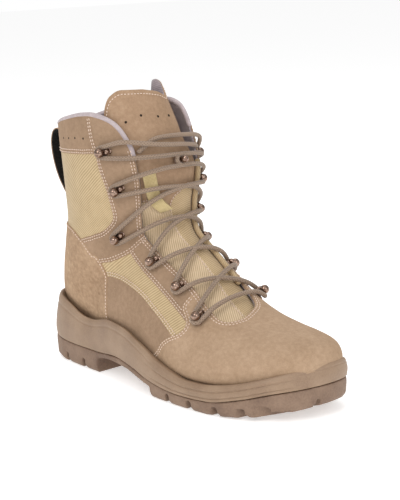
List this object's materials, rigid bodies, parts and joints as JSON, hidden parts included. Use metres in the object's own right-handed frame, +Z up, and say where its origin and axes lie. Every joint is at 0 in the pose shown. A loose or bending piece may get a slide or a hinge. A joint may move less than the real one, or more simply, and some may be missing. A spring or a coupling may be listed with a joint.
{
  "type": "combat boot",
  "caption": "Tan eight-inch lace-up combat boot with a lugged sole, ribbed textile panels, speed hooks, a tall padded tongue and a rear pull loop.",
  "frame": {"origin": "bottom centre of the bounding box, on the ground under the sole", "axes": "+X along the boot towards the toe, +Y towards the medial side, +Z up"},
  "size_m": [0.3138, 0.1122, 0.247],
  "materials": {
    "outsole_rubber": "matt, slightly grainy brown-tan rubber",
    "midsole_rubber": "satin moulded tan",
    "nubuck": "sanded tan nubuck with ribbed sand textile inserts",
    "tongue_leather": "smooth matt tan leather with ribbed sand textile below",
    "lining": "pale grey-lilac knitted lining",
    "loop_webbing": "black woven tape with a tan edge",
    "keeper_webbing": "sand woven tape",
    "hook_metal": "dark bronze, polished",
    "lace_cord": "round braided grey-beige cord"
  },
  "bodies": {
    "root": {"outsole": "outsole_rubber", "midsole": "midsole_rubber", "upper": "nubuck", "insole": "lining", "tongue": "tongue_leather", "pull_loop": "loop_webbing", "lace_keeper": "keeper_webbing", "tongue_hook": "hook_metal", "lace": "lace_cord", "lace_end_lateral": "lace_cord", "lace_end_medial": "lace_cord", "lateral_hook_1": "hook_metal", "medial_hook_1": "hook_metal", "lateral_hook_2": "hook_metal", "medial_hook_2": "hook_metal", "lateral_hook_3": "hook_metal", "medial_hook_3": "hook_metal", "lateral_hook_4": "hook_metal", "medial_hook_4": "hook_metal", "lateral_hook_5": "hook_metal", "medial_hook_5": "hook_metal", "lateral_hook_6": "hook_metal", "medial_hook_6": "hook_metal"}
  },
  "joints": []
}
